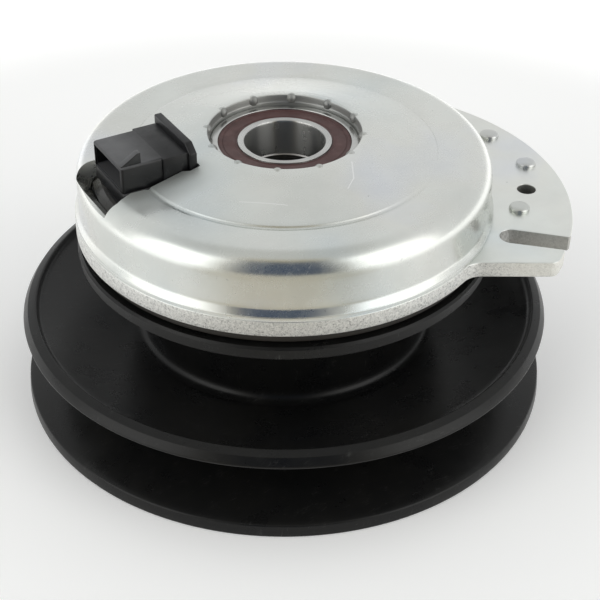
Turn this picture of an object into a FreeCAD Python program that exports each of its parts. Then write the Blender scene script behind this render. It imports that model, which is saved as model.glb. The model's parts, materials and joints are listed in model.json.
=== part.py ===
import FreeCAD, Part
import math
import os

# Electromagnetic clutch with a stamped V-belt pulley, engine side up.
# Units are millimetres. Heights in the named values are measured up from the plane the lower
# pulley rim stands on; everything is exported with the origin on the clutch axis, in the plane of
# the rotor hub's engine-side end face. +Z points to the engine, -X is the way the electrical
# connector opens.

os.makedirs("parts", exist_ok=True)

V = FreeCAD.Vector
AXIS = V(0, 0, 1)
CENTRE = V(0, 0, 0)

# ---------------------------------------------------------------- driving dimensions

SHAFT_R = 12.7              # 1 inch crankshaft
KEYWAY_WIDTH = 6.35         # 1/4 inch key
KEYWAY_DEPTH = 3.0
HUB_TOP = 74.05             # engine-side end of the rotor hub, where the field bearing sits
HUB_BOTTOM = 9.0
HUB_SEAT_R = 17.5           # seat of the pulley bearings on the hub

PULLEY_R = 87.3             # both stamped halves
SHEET = 3.3                 # pulley sheet thickness
WEB_R = 48.0                # where the cone starts
DRUM_R = 46.4               # drum of the upper stamping, under the armature
DRUM_TOP = 44.2
RIM_HEIGHT = 4.2            # height of the thickened rim band
RIM_CREST_R = 82.4          # inner edge of the rim band
RIM_TOP_R = 85.05           # upper rim only: where its top meets its slanting outer side
RIM_TOP_Z = 29.7
UPPER_RIM_Z = 26.7          # lower edge of the upper rim
GROOVE_MID = (UPPER_RIM_Z + RIM_HEIGHT) / 2

PLATE_R = 66.85             # torque plate and armature share this radius
ARMATURE_Z = 50.4
ARMATURE_T = 4.4
AIR_GAP = 0.45              # armature to rotor face when released
ROTOR_FACE_Z = ARMATURE_Z + ARMATURE_T + AIR_GAP
PLATE_Z = 59.05
PLATE_T = 5.2

SHELL_R = 65.4              # outer wall of the field shell
SHELL_WALL = 4.3
SHOULDER_R = 10.0           # big rounded shoulder
SHOULDER_TOP = 84.5
STEP_R = 48.3               # coined ring between the shoulder and the cone
HUB_RIM_Z = 89.5            # highest point of the shell, round the bearing hole
HUB_RIM_R = 25.1

BEARING_OD_R = 23.5         # field bearing, 25.4 x 47 x 12
BEARING_W = 12.0
BALL_R = 3.2
SEAL_T = 0.7
STAKES = 12
STAKE_R = 1.6
STAKE_PHASE = -5.0

PULLEY_BEARING_OD_R = 31.0  # two pulley bearings, 35 x 62 x 14
PULLEY_BEARING_W = 14.0
PULLEY_BEARING_Z = 14.0
PULLEY_BALL_R = 4.0
PULLEY_HUB_R = 36.0

TAB_TURN = -30.0            # the tab's straight edge is parallel to this direction
TAB_ARC_CENTRE = V(13.8, 1.6, 0)
TAB_ARC_R = 78.3
TAB_EDGE = 36.3             # distance of each straight tab edge from the clutch axis
TAB_BISECTOR = 18.0
TAB_HOLE = V(78.9, 6.8, 0)
TAB_HOLE_R = 3.0
TAB_RIVETS = [V(70.8, 41.2, 0), V(80.9, 22.2, 0), V(74.4, -6.0, 0)]
RIVET_HEAD_R = 3.1
SLOT_WIDTH = 7.6
SLOT_END = V(70.4, -21.4, 0)
SLOT_DIRECTION = -13.6

BRAKE_MAGNET_T = 7.0        # magnetic brake riveted under the tab
BRAKE_POLE_T = 2.8
BRAKE_DEPTH = BRAKE_MAGNET_T + 2 * BRAKE_POLE_T
BRAKE_START = -9.0
BRAKE_SWEEP = 48.0

CONNECTOR_Y = 8.4           # the connector stands to one side of the radius it points along
CONNECTOR_FRONT = -56.3
CONNECTOR_WIDTH = 20.6
CONNECTOR_Z = 83.2
CONNECTOR_HEIGHT = 9.0
CONNECTOR_WALL = 1.4
WINDOW_WIDTH = 28.8
WINDOW_INNER = -31.8
WINDOW_OUTER = -63.4
WINDOW_LIP_Z = 80.2

# ---------------------------------------------------------------- small geometry helpers


def ring(inner, outer, low, high):
    """Flat ring or, with no inner radius, a disc."""
    solid = Part.makeCylinder(outer, high - low, V(0, 0, low))
    if inner <= 0:
        return solid
    return solid.cut(Part.makeCylinder(inner, high - low, V(0, 0, low)))


def revolve(points):
    """Solid of revolution about Z from a closed outline of (radius, height) points.

    A point with a third value is the middle of an arc between its neighbours.
    """
    edges = []
    outline = list(points) + [points[0]]
    index = 0
    while index < len(outline) - 1:
        start = V(outline[index][0], 0, outline[index][1])
        nxt = outline[index + 1]
        if len(nxt) == 3:
            middle = V(nxt[0], 0, nxt[1])
            end = V(outline[index + 2][0], 0, outline[index + 2][1])
            edges.append(Part.Arc(start, middle, end).toShape())
            index += 2
        else:
            edges.append(Part.LineSegment(start, V(nxt[0], 0, nxt[1])).toShape())
            index += 1
    face = Part.Face(Part.Wire(edges))
    return face.revolve(CENTRE, AXIS, 360)


def arc_point(centre_r, centre_z, radius, degrees):
    """Middle point of an arc in a revolved outline."""
    angle = math.radians(degrees)
    return (centre_r + radius * math.cos(angle), centre_z + radius * math.sin(angle), "arc")


def box(x0, x1, y0, y1, z0, z1):
    return Part.makeBox(x1 - x0, y1 - y0, z1 - z0, V(x0, y0, z0))


def around(shape, count, phase=0.0):
    """Copies of a shape, evenly spaced round the clutch axis."""
    copies = []
    for index in range(count):
        copy = shape.copy()
        copy.rotate(CENTRE, AXIS, phase + index * 360.0 / count)
        copies.append(copy)
    return copies


def turned(shape, degrees):
    copy = shape.copy()
    copy.rotate(CENTRE, AXIS, degrees)
    return copy


def fused(shapes):
    result = shapes[0]
    for shape in shapes[1:]:
        result = result.fuse(shape)
    return result.removeSplitter()


def cut_all(shape, tools):
    for tool in tools:
        shape = shape.cut(tool)
    return shape


def sector(inner, outer, low, high, start, sweep):
    """Part of a ring between two azimuths in degrees."""
    inner_start = V(inner, 0, low)
    face = Part.Face(Part.makePolygon([
        inner_start, V(outer, 0, low), V(outer, 0, high), V(inner, 0, high), inner_start]))
    return turned(face.revolve(CENTRE, AXIS, sweep), start)


def extruded(edges, low, height):
    face = Part.Face(Part.Wire(edges))
    face.translate(V(0, 0, low))
    return face.extrude(V(0, 0, height))


def export(name, shapes):
    """Write one sub-part, moved from standing heights to the row frame."""
    if not isinstance(shapes, list):
        shapes = [shapes]
    moved = []
    for shape in shapes:
        for solid in shape.Solids:
            copy = solid.copy()
            copy.translate(V(0, 0, -HUB_TOP))
            moved.append(copy)
    result = moved[0] if len(moved) == 1 else Part.makeCompound(moved)
    result.exportStep("parts/" + name + ".step")


# ---------------------------------------------------------------- field shell and its tab


def tab_blank():
    """Fan-shaped torque tab: an outer arc between two straight edges, corners rounded."""
    reach = 2 * PLATE_R
    disc = Part.makeCylinder(TAB_ARC_R, PLATE_T, TAB_ARC_CENTRE + V(0, 0, PLATE_Z))
    front = box(0, reach, -TAB_EDGE, 0, PLATE_Z, PLATE_Z + PLATE_T)
    rear = turned(box(0, reach, 0, TAB_EDGE, PLATE_Z, PLATE_Z + PLATE_T), 2 * TAB_BISECTOR)
    middle = sector(0.01, reach, PLATE_Z, PLATE_Z + PLATE_T, 0, 2 * TAB_BISECTOR)
    fan = fused([front, middle, rear])
    return fan.common(disc)


def rounded_tab():
    tab = tab_blank()
    corners = []
    for edge in tab.Edges:
        middle = edge.CenterOfMass
        upright = abs(edge.tangentAt(edge.FirstParameter).z) > 0.99
        if upright and math.hypot(middle.x, middle.y) > PLATE_R:
            corners.append(edge)
    return tab.makeFillet(3.0, corners)


def tab_slot():
    """Open-ended slot that takes the torque stop."""
    length = 40.0
    low = PLATE_Z - 1
    height = PLATE_T + 2
    slot = box(0, length, -SLOT_WIDTH / 2, SLOT_WIDTH / 2, low, low + height)
    slot = slot.fuse(Part.makeCylinder(SLOT_WIDTH / 2, height, V(0, 0, low)))
    slot.rotate(CENTRE, AXIS, SLOT_DIRECTION)
    slot.translate(SLOT_END)
    return slot


def shell_body():
    """Drawn cup: bearing hole, cone, coined ring, big shoulder, wall and flared foot."""
    shoulder_c = SHELL_R - SHOULDER_R
    inner_wall = SHELL_R - SHELL_WALL
    inner_shoulder = SHOULDER_R - SHELL_WALL
    shoulder_z = SHOULDER_TOP - SHOULDER_R
    flare = 4.0
    flare_rise = 2.6
    flare_out = flare - math.sqrt(flare * flare - flare_rise * flare_rise)
    plate_top = PLATE_Z + PLATE_T
    seat_top = 84.6
    return revolve([
        (inner_wall, plate_top),
        (SHELL_R + flare_out, plate_top),
        arc_point(SHELL_R + flare, plate_top + flare_rise, flare, 200),
        (SHELL_R, plate_top + flare_rise),
        (SHELL_R, shoulder_z),
        arc_point(shoulder_c, shoulder_z, SHOULDER_R, 45),
        (shoulder_c, SHOULDER_TOP),
        (STEP_R + 3.0, SHOULDER_TOP - 0.5),
        (STEP_R + 0.9, SHOULDER_TOP - 0.9),
        (STEP_R, SHOULDER_TOP - 0.35),
        (HUB_RIM_R + 3.2, HUB_RIM_Z - 0.5),
        (HUB_RIM_R, HUB_RIM_Z),
        (HUB_RIM_R - 0.8, HUB_RIM_Z - 0.1),
        (BEARING_OD_R + 0.35, HUB_RIM_Z - 0.7),
        (BEARING_OD_R + 0.2, HUB_RIM_Z - 2.2),
        (BEARING_OD_R, HUB_RIM_Z - 2.6),
        (BEARING_OD_R, seat_top),
        (29.4, seat_top),
        (STEP_R, SHOULDER_TOP - 5.0),
        (shoulder_c, SHOULDER_TOP - SHELL_WALL),
        arc_point(shoulder_c, shoulder_z, inner_shoulder, 45),
        (inner_wall, shoulder_z),
    ])


def window_cutter():
    """Opening in the shoulder that the connector comes out of, its sill sloping inwards."""
    low_y = CONNECTOR_Y - WINDOW_WIDTH / 2
    high_y = CONNECTOR_Y + WINDOW_WIDTH / 2
    sill_depth = 8.0
    top = HUB_RIM_Z + 5
    outline = [
        V(WINDOW_OUTER - 6, low_y, WINDOW_LIP_Z),
        V(WINDOW_OUTER, low_y, WINDOW_LIP_Z),
        V(WINDOW_OUTER + sill_depth, low_y, WINDOW_LIP_Z - sill_depth),
        V(WINDOW_INNER, low_y, WINDOW_LIP_Z - sill_depth),
        V(WINDOW_INNER, low_y, top),
        V(WINDOW_OUTER - 6, low_y, top),
    ]
    face = Part.Face(Part.makePolygon(outline + [outline[0]]))
    return face.extrude(V(0, high_y - low_y, 0))


def stake_beads():
    """Metal punched over the bearing's outer ring all round the hole."""
    bead = Part.makeSphere(STAKE_R, V(BEARING_OD_R, 0, HUB_TOP + BEARING_W + 0.9))
    floor_z = HUB_TOP + BEARING_W + 0.03
    bead = bead.common(box(BEARING_OD_R - 4, BEARING_OD_R + 4, -4, 4, floor_z, floor_z + 6))
    return around(bead, STAKES, STAKE_PHASE)


def stake_pockets():
    pocket = Part.makeSphere(STAKE_R, V(BEARING_OD_R + 0.3, 0, HUB_RIM_Z + 0.5))
    return around(pocket, STAKES, STAKE_PHASE)


def field_shell():
    shell = fused([shell_body()] + stake_beads())
    return cut_all(shell, stake_pockets() + [window_cutter()])


def torque_plate():
    """Flat ring at the mouth of the shell, with the fan-shaped tab that stops it turning."""
    top = PLATE_Z + PLATE_T
    rim = revolve([
        (SHELL_R - SHELL_WALL, PLATE_Z),
        (PLATE_R - 0.4, PLATE_Z),
        (PLATE_R, PLATE_Z + 0.4),
        (PLATE_R, top - 0.5),
        arc_point(PLATE_R - 0.5, top - 0.5, 0.5, 45),
        (PLATE_R - 0.5, top),
        (SHELL_R - SHELL_WALL, top),
    ])
    through = PLATE_T + 2
    tools = [tab_slot(), Part.makeCylinder(SHELL_R - 1, through, V(0, 0, PLATE_Z - 1)),
             Part.makeCylinder(TAB_HOLE_R, through, TAB_HOLE + V(0, 0, PLATE_Z - 1))]
    for place in TAB_RIVETS:
        tools.append(Part.makeCylinder(2.0, through, place + V(0, 0, PLATE_Z - 1)))
    tab = cut_all(rounded_tab(), tools)
    return fused([rim, turned(tab, TAB_TURN)])


def tab_rivets():
    rivets = []
    for place in TAB_RIVETS:
        foot = place + V(0, 0, PLATE_Z - BRAKE_DEPTH)
        shank = Part.makeCylinder(1.95, PLATE_T + BRAKE_DEPTH, foot)
        head = Part.makeSphere(4.2, place + V(0, 0, PLATE_Z + PLATE_T - 2.6))
        head = head.common(Part.makeCylinder(RIVET_HEAD_R, 3, place + V(0, 0, PLATE_Z + PLATE_T)))
        tail = Part.makeCylinder(3.0, 1.2, foot - V(0, 0, 1.2))
        rivets.append(turned(fused([shank, head, tail]), TAB_TURN))
    return rivets


# ---------------------------------------------------------------- magnetic brake under the tab


def brake_sector(inner, outer, low, high, margin=0.0):
    start = BRAKE_START + TAB_TURN + margin
    block = sector(inner, outer, low, high, start, BRAKE_SWEEP - 2 * margin)
    for place in TAB_RIVETS:
        hole = Part.makeCylinder(2.0, high - low + 2, place + V(0, 0, low - 1))
        block = block.cut(turned(hole, TAB_TURN))
    return block


def brake_upper_pole():
    return brake_sector(68.5, 85.5, PLATE_Z - BRAKE_POLE_T, PLATE_Z)


def brake_magnets():
    top = PLATE_Z - BRAKE_POLE_T
    arc = brake_sector(69.5, 85.0, top - BRAKE_MAGNET_T, top, 1.0)
    gaps = []
    for azimuth in (7.0, 24.5):
        gap = sector(60, 90, top - BRAKE_MAGNET_T - 1, top + 1, azimuth + TAB_TURN, 0.6)
        gaps.append(gap)
    return cut_all(arc, gaps)


def brake_lower_pole():
    """Steel shoe that reaches in under the armature's rim."""
    top = PLATE_Z - BRAKE_POLE_T - BRAKE_MAGNET_T
    return brake_sector(61.0, 85.5, top - BRAKE_POLE_T, top)


def brake_pad():
    """Friction pad that the released armature rests on."""
    low = PLATE_Z - BRAKE_POLE_T - BRAKE_MAGNET_T
    return brake_sector(61.5, 66.5, low, ARMATURE_Z - 0.02, 1.5)


# ---------------------------------------------------------------- coil


def inner_pole_ring():
    """Inner pole of the magnet; its ledge carries the field bearing."""
    return revolve([
        (BEARING_OD_R, 84.6),
        (29.2, 84.6),
        (29.2, 65.0),
        (27.8, 63.4),
        (21.5, 63.4),
        (21.5, HUB_TOP),
        (BEARING_OD_R, HUB_TOP),
    ])


BOBBIN_TOP = 79.2
BOBBIN_BOTTOM = 65.4
BOBBIN_WALL = 1.6


def coil_bobbin():
    low = BOBBIN_BOTTOM
    high = BOBBIN_TOP
    wall = BOBBIN_WALL
    return revolve([
        (29.6, low), (57.0, low), (57.0, low + wall), (29.6 + wall, low + wall),
        (29.6 + wall, high - wall), (57.0, high - wall), (57.0, high), (29.6, high),
    ])


def coil_winding():
    return ring(29.6 + BOBBIN_WALL + 0.05, 56.2, BOBBIN_BOTTOM + BOBBIN_WALL + 0.05,
                BOBBIN_TOP - BOBBIN_WALL - 0.05)


def coil_potting():
    """Moulded ring that fills the space between the bobbin and the shell."""
    outer = SHELL_R - SHELL_WALL - 0.1
    return revolve([
        (57.1, BOBBIN_BOTTOM), (outer, BOBBIN_BOTTOM), (outer, 73.8), (60.3, 76.6),
        (58.2, 79.0), (57.1, BOBBIN_TOP),
    ])


# ---------------------------------------------------------------- connector


def connector_body():
    y0 = CONNECTOR_Y - CONNECTOR_WIDTH / 2
    y1 = CONNECTOR_Y + CONNECTOR_WIDTH / 2
    z0 = CONNECTOR_Z
    z1 = CONNECTOR_Z + CONNECTOR_HEIGHT
    wall = CONNECTOR_WALL
    shroud_back = -43.0
    flange_front = -34.8
    flange_back = -32.3
    shroud = box(CONNECTOR_FRONT, shroud_back, y0, y1, z0, z1)
    long_edges = [edge for edge in shroud.Edges
                  if abs(edge.tangentAt(edge.FirstParameter).x) > 0.99]
    shroud = shroud.makeFillet(0.8, long_edges)
    rear = box(shroud_back, flange_front, y0 - 0.7, y1 + 0.7, z0, z1 + 0.4)
    chamfer = 3.2
    flange_outline = [
        V(flange_front, y0 - 1.9, z0 - 1),
        V(flange_front, y1 + 1.9, z0 - 1),
        V(flange_front, y1 + 1.9, z1 + 2.4),
        V(flange_front, y0 - 1.9 + chamfer, z1 + 2.4),
        V(flange_front, y0 - 1.9, z1 + 2.4 - chamfer * 0.8),
    ]
    flange = Part.Face(Part.makePolygon(flange_outline + [flange_outline[0]]))
    flange = flange.extrude(V(flange_back - flange_front, 0, 0))
    ramp_y = y0 + 0.7
    ramp_outline = [V(-55.6, ramp_y, z1 - 0.1), V(-49.4, ramp_y, z1 - 0.1),
                    V(-49.4, ramp_y, z1 + 3.4), V(-50.6, ramp_y, z1 + 3.4),
                    V(-55.6, ramp_y, z1 + 0.1)]
    ramp = Part.Face(Part.makePolygon(ramp_outline + [ramp_outline[0]])).extrude(V(0, 2.2, 0))
    foot = box(-56.0, flange_back, y0 - 2.0, y1 + 2.0, BOBBIN_TOP, z0)
    cavity = box(CONNECTOR_FRONT - 1, -45.0, y0 + wall, y1 - wall, z0 + wall, z1 - wall)
    body = fused([shroud, rear, flange, ramp, foot]).cut(cavity)
    return cut_all(body, terminal_blades(0.0))


def terminal_blades(grow):
    """Two flat blades that turn down through the foot to the coil."""
    blades = []
    middle_z = CONNECTOR_Z + CONNECTOR_HEIGHT / 2
    for side in (-1, 1):
        y = CONNECTOR_Y + side * 4.2
        flat = box(-50.4 - grow, -41.0, y - 1.4, y + 1.4, middle_z - 0.4, middle_z + 0.4)
        drop = box(-41.8, -41.0, y - 1.4, y + 1.4, BOBBIN_TOP, middle_z)
        blades.append(fused([flat, drop]))
    return blades


# ---------------------------------------------------------------- ball bearings


def bearing_outer(bore_r, outer_r, low, width, ball_r):
    """Outer ring with a ball track and a seal recess at each face."""
    pitch = (bore_r + outer_r) / 2
    track = ball_r + 0.12
    land = pitch + 0.62 * ball_r
    recess = outer_r - 2.6
    high = low + width
    body = revolve([
        (land, low + 1.2), (recess, low + 1.2), (recess, low), (outer_r - 0.5, low),
        (outer_r, low + 0.5), (outer_r, high - 0.5), (outer_r - 0.5, high), (recess, high),
        (recess, high - 1.2), (land, high - 1.2),
    ])
    groove = Part.makeTorus(pitch, track, V(0, 0, low + width / 2))
    return body.cut(groove)


def bearing_inner(bore_r, outer_r, low, width, ball_r):
    pitch = (bore_r + outer_r) / 2
    track = ball_r + 0.12
    land = pitch - 0.62 * ball_r
    seal_land = bore_r + 2.1
    high = low + width
    body = revolve([
        (bore_r + 0.4, low), (seal_land, low), (seal_land, low + 1.2), (land, low + 1.2),
        (land, high - 1.2), (seal_land, high - 1.2), (seal_land, high), (bore_r + 0.4, high),
        (bore_r, high - 0.4), (bore_r, low + 0.4),
    ])
    groove = Part.makeTorus(pitch, track, V(0, 0, low + width / 2))
    return body.cut(groove)


def bearing_balls(bore_r, outer_r, low, width, ball_r, count):
    pitch = (bore_r + outer_r) / 2
    ball = Part.makeSphere(ball_r, V(pitch, 0, low + width / 2))
    return around(ball, count)


def bearing_cage(bore_r, outer_r, low, width, ball_r, count):
    """Ribbon ring with a pocket for each ball."""
    pitch = (bore_r + outer_r) / 2
    middle = low + width / 2
    cage = ring(pitch - 0.7, pitch + 0.7, middle - ball_r * 0.62, middle + ball_r * 0.62)
    pocket = Part.makeSphere(ball_r + 0.08, V(pitch, 0, middle))
    return cut_all(cage, around(pocket, count))


def bearing_seal(bore_r, outer_r, face_z, inward):
    """Rubber-faced shield in the outer ring's recess, just clear of the inner ring."""
    inner = bore_r + 2.1 + 0.12
    outer = outer_r - 2.6 - 0.02
    sunk = 0.35
    near = face_z + inward * sunk
    far = near + inward * SEAL_T
    return ring(inner, outer, min(near, far), max(near, far))


def export_bearing(prefix, bore_r, outer_r, low, width, ball_r, count):
    export(prefix + "_outer_ring", bearing_outer(bore_r, outer_r, low, width, ball_r))
    export(prefix + "_inner_ring", bearing_inner(bore_r, outer_r, low, width, ball_r))
    export(prefix + "_balls", bearing_balls(bore_r, outer_r, low, width, ball_r, count))
    export(prefix + "_cage", bearing_cage(bore_r, outer_r, low, width, ball_r, count))
    export(prefix + "_seal_top", bearing_seal(bore_r, outer_r, low + width, -1))
    export(prefix + "_seal_bottom", bearing_seal(bore_r, outer_r, low, 1))


# ---------------------------------------------------------------- rotor

ROTOR_BORE_R = 19.0


def rotor_hub():
    """Sleeve on the crankshaft, with a collar for the rotor and the bearing seat below."""
    bearing_top = PULLEY_BEARING_Z + 2 * PULLEY_BEARING_W + 2.0
    sleeve = revolve([
        (SHAFT_R, HUB_BOTTOM + 0.5), (SHAFT_R + 0.5, HUB_BOTTOM), (HUB_SEAT_R - 0.6, HUB_BOTTOM),
        (HUB_SEAT_R, HUB_BOTTOM + 0.6), (HUB_SEAT_R, 11.6), (HUB_SEAT_R - 0.9, 11.6),
        (HUB_SEAT_R - 0.9, 13.0), (HUB_SEAT_R, 13.0), (HUB_SEAT_R, bearing_top),
        (21.0, bearing_top), (21.0, ROTOR_FACE_Z - 1.5), (ROTOR_BORE_R, ROTOR_FACE_Z - 1.5),
        (ROTOR_BORE_R, 62.5), (15.0, 64.0), (15.0, HUB_TOP), (SHAFT_R + 0.5, HUB_TOP),
        (SHAFT_R, HUB_TOP - 0.5),
    ])
    keyway = box(0, SHAFT_R + KEYWAY_DEPTH, -KEYWAY_WIDTH / 2, KEYWAY_WIDTH / 2,
                 HUB_BOTTOM - 1, ROTOR_FACE_Z + 2)
    return sleeve.cut(keyway)


def rotor_disc():
    """Slotted friction disc whose collar turns inside the mouth of the field shell."""
    face = ROTOR_FACE_Z
    disc = revolve([
        (ROTOR_BORE_R, face), (64.0, face), (64.6, face + 0.6), (64.6, 58.2), (60.2, 58.2),
        (60.2, 62.4), (53.0, 62.4), (51.5, 60.0), (33.0, 60.0), (31.5, 62.4),
        (ROTOR_BORE_R, 62.4),
    ])
    slots = []
    for radius, count, sweep in ((52.5, 6, 50.0), (43.5, 6, 46.0), (34.5, 4, 70.0)):
        slot = sector(radius - 1.1, radius + 1.1, face - 1, 63.5, 0, sweep)
        slots += around(slot, count, radius)
    return cut_all(disc, slots)


def bearing_spacer():
    return ring(HUB_SEAT_R, 21.0, PULLEY_BEARING_Z + PULLEY_BEARING_W,
                PULLEY_BEARING_Z + PULLEY_BEARING_W + 2.0)


def outer_spacer():
    return ring(27.2, PULLEY_BEARING_OD_R, PULLEY_BEARING_Z + PULLEY_BEARING_W,
                PULLEY_BEARING_Z + PULLEY_BEARING_W + 2.0)


def snap_ring(inner, outer, low, high, gap_degrees, turn):
    return sector(inner, outer, low, high, gap_degrees / 2 + turn, 360 - gap_degrees)


# ---------------------------------------------------------------- pulley

PULLEY_RIVETS = 6
PULLEY_RIVET_CIRCLE = 39.5


def flange_outline(inner, side):
    """Outline points shared by both stampings: the cone, the rim's outer side, the way back."""
    low = GROOVE_MID
    slope = (UPPER_RIM_Z - low) / (PULLEY_R - WEB_R)
    rise = SHEET * math.sqrt(1 + slope * slope)
    crest_in = RIM_CREST_R - 0.9
    return [(WEB_R + inner, low + slope * inner)] + side + [
        (RIM_CREST_R, UPPER_RIM_Z + RIM_HEIGHT - 0.1),
        (crest_in, low + rise + slope * (crest_in - WEB_R)),
        (WEB_R + 2.2, low + rise + slope * 2.2),
    ]


def upper_rim_side():
    """Outer side that slants in towards the top."""
    return [
        (PULLEY_R - 1.0, UPPER_RIM_Z - 0.28),
        (PULLEY_R - 0.3, UPPER_RIM_Z + 0.05, "arc"),
        (PULLEY_R - 0.2, UPPER_RIM_Z + 0.7),
        (RIM_TOP_R + 0.3, RIM_TOP_Z - 0.4),
        (RIM_TOP_R, RIM_TOP_Z, "arc"),
        (RIM_TOP_R - 0.4, RIM_TOP_Z + 0.25),
        (RIM_CREST_R + 0.5, UPPER_RIM_Z + RIM_HEIGHT),
    ]


def lower_rim_side():
    """Nearly upright outer side, in the same way up as the other stamping."""
    top = UPPER_RIM_Z + RIM_HEIGHT
    return [
        (PULLEY_R - 1.2, UPPER_RIM_Z - 0.34),
        (PULLEY_R - 0.5, UPPER_RIM_Z, "arc"),
        (PULLEY_R - 0.3, UPPER_RIM_Z + 0.7),
        (PULLEY_R, top - 0.6),
        (PULLEY_R - 0.18, top - 0.18, "arc"),
        (PULLEY_R - 0.6, top),
        (RIM_CREST_R + 0.4, top),
    ]


def pulley_upper_half():
    """Upper stamping: rim, cone and a drum that rises to the armature."""
    low = GROOVE_MID
    fold = 2.6
    wall_in = DRUM_R - SHEET
    foot_z = low + SHEET + fold + 0.5
    corner = 3.0
    stamping = revolve([
        (wall_in, low + 2.0),
        arc_point(wall_in + 2.0, low + 2.0, 2.0, 225),
        (wall_in + 2.0, low),
        (WEB_R, low),
    ] + flange_outline(1.8, upper_rim_side()) + [
        (DRUM_R + 0.9, foot_z - 1.9, "arc"),
        (DRUM_R, foot_z),
        (DRUM_R, DRUM_TOP - corner),
        arc_point(DRUM_R - corner, DRUM_TOP - corner, corner, 45),
        (DRUM_R - corner, DRUM_TOP),
        (PULLEY_HUB_R, DRUM_TOP),
        (PULLEY_HUB_R, DRUM_TOP - SHEET),
        (wall_in, DRUM_TOP - SHEET),
    ])
    for index in range(SPRINGS):
        foot = polar(SPRING_CIRCLE, index * 120)
        stamping = stamping.cut(Part.makeCylinder(1.6, 20, foot + V(0, 0, DRUM_TOP - 10)))
    return stamping


def pulley_lower_half():
    """Lower stamping: the same rim and cone, mirrored, on a flat web riveted to the hub."""
    low = GROOVE_MID
    web = [(PULLEY_HUB_R, low), (WEB_R - 1.8, low)]
    half = revolve(web + flange_outline(1.8, lower_rim_side()) + [
        (WEB_R - 2.2, low + SHEET),
        (PULLEY_HUB_R, low + SHEET),
    ])
    hole = Part.makeCylinder(2.25, 10, V(PULLEY_RIVET_CIRCLE, 0, low - 2))
    half = cut_all(half, around(hole, PULLEY_RIVETS))
    return half.mirror(V(0, 0, GROOVE_MID), AXIS)


def pulley_rivets():
    low = GROOVE_MID - SHEET
    shank = Part.makeCylinder(2.2, 2 * SHEET, V(PULLEY_RIVET_CIRCLE, 0, low))
    head = Part.makeCylinder(3.2, 1.6, V(PULLEY_RIVET_CIRCLE, 0, low + 2 * SHEET))
    tail = Part.makeCylinder(3.2, 1.6, V(PULLEY_RIVET_CIRCLE, 0, low - 1.6))
    return around(fused([shank, head, tail]), PULLEY_RIVETS)


def pulley_hub():
    """Turned hub that holds both bearings; its flange takes the lower stamping's rivets."""
    low = PULLEY_BEARING_Z - 3.0
    bearing_top = PULLEY_BEARING_Z + 2 * PULLEY_BEARING_W + 2.0
    ledge = 28.5
    hub = revolve([
        (PULLEY_BEARING_OD_R, low),
        (PULLEY_HUB_R, low),
        (PULLEY_HUB_R, GROOVE_MID),
        (42.9, GROOVE_MID),
        (42.9, GROOVE_MID + SHEET),
        (PULLEY_HUB_R, GROOVE_MID + SHEET),
        (PULLEY_HUB_R, DRUM_TOP),
        (PULLEY_HUB_R - 1.0, DRUM_TOP + 2.0),
        (ledge, DRUM_TOP + 2.0),
        (ledge, bearing_top),
        (PULLEY_BEARING_OD_R, bearing_top),
        (PULLEY_BEARING_OD_R, PULLEY_BEARING_Z),
        (PULLEY_BEARING_OD_R + 0.9, PULLEY_BEARING_Z),
        (PULLEY_BEARING_OD_R + 0.9, PULLEY_BEARING_Z - 1.4),
        (PULLEY_BEARING_OD_R, PULLEY_BEARING_Z - 1.4),
    ])
    hole = Part.makeCylinder(2.25, 10, V(PULLEY_RIVET_CIRCLE, 0, GROOVE_MID - 2))
    return cut_all(hub, around(hole, PULLEY_RIVETS))


# ---------------------------------------------------------------- armature and its springs

SPRINGS = 3
CARRIER_Z = DRUM_TOP
CARRIER_T = 2.6
SPRING_T = 0.9
SPRING_SPAN = 30.0
SPRING_CIRCLE = 40.2
SPRING_Z = ARMATURE_Z - SPRING_T


def polar(radius, degrees):
    angle = math.radians(degrees)
    return V(radius * math.cos(angle), radius * math.sin(angle), 0)


def spring_carrier():
    """Ring on the pulley hub with an upright post for each spring's fixed end."""
    carrier = ring(PULLEY_HUB_R + 0.2, DRUM_R + 0.6, CARRIER_Z, CARRIER_Z + CARRIER_T)
    for index in range(SPRINGS):
        foot = polar(SPRING_CIRCLE, index * 120)
        post = Part.makeCylinder(4.0, SPRING_Z - CARRIER_Z, foot + V(0, 0, CARRIER_Z))
        carrier = carrier.fuse(post)
    carrier = carrier.removeSplitter()
    for index in range(SPRINGS):
        foot = polar(SPRING_CIRCLE, index * 120)
        carrier = carrier.cut(Part.makeCylinder(1.6, 20, foot + V(0, 0, CARRIER_Z - 5)))
    return carrier


def leaf_spring(index):
    start = polar(SPRING_CIRCLE, index * 120)
    end = polar(56.0, index * 120 + SPRING_SPAN)
    along = end - start
    strip = box(0, along.Length, -4.0, 4.0, SPRING_Z, SPRING_Z + SPRING_T)
    strip = strip.fuse(Part.makeCylinder(4.0, SPRING_T, V(0, 0, SPRING_Z)))
    strip = strip.fuse(Part.makeCylinder(4.0, SPRING_T, V(along.Length, 0, SPRING_Z)))
    strip = strip.removeSplitter()
    strip = strip.cut(Part.makeCylinder(1.6, 4, V(0, 0, SPRING_Z - 1)))
    strip = strip.cut(Part.makeCylinder(1.8, 4, V(along.Length, 0, SPRING_Z - 1)))
    strip.rotate(CENTRE, AXIS, math.degrees(math.atan2(along.y, along.x)))
    strip.translate(start)
    return strip


def spring_rivets():
    """Fixed-end rivets, their heads in the clearance holes of the armature."""
    rivets = []
    for index in range(SPRINGS):
        foot = polar(SPRING_CIRCLE, index * 120)
        low = CARRIER_Z - SHEET
        shank = Part.makeCylinder(1.55, SPRING_Z + SPRING_T - low, foot + V(0, 0, low))
        head = Part.makeCylinder(2.8, 1.4, foot + V(0, 0, SPRING_Z + SPRING_T))
        tail = Part.makeCylinder(2.8, 1.2, foot + V(0, 0, low - 1.2))
        rivets.append(fused([shank, head, tail]))
    return rivets


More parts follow.
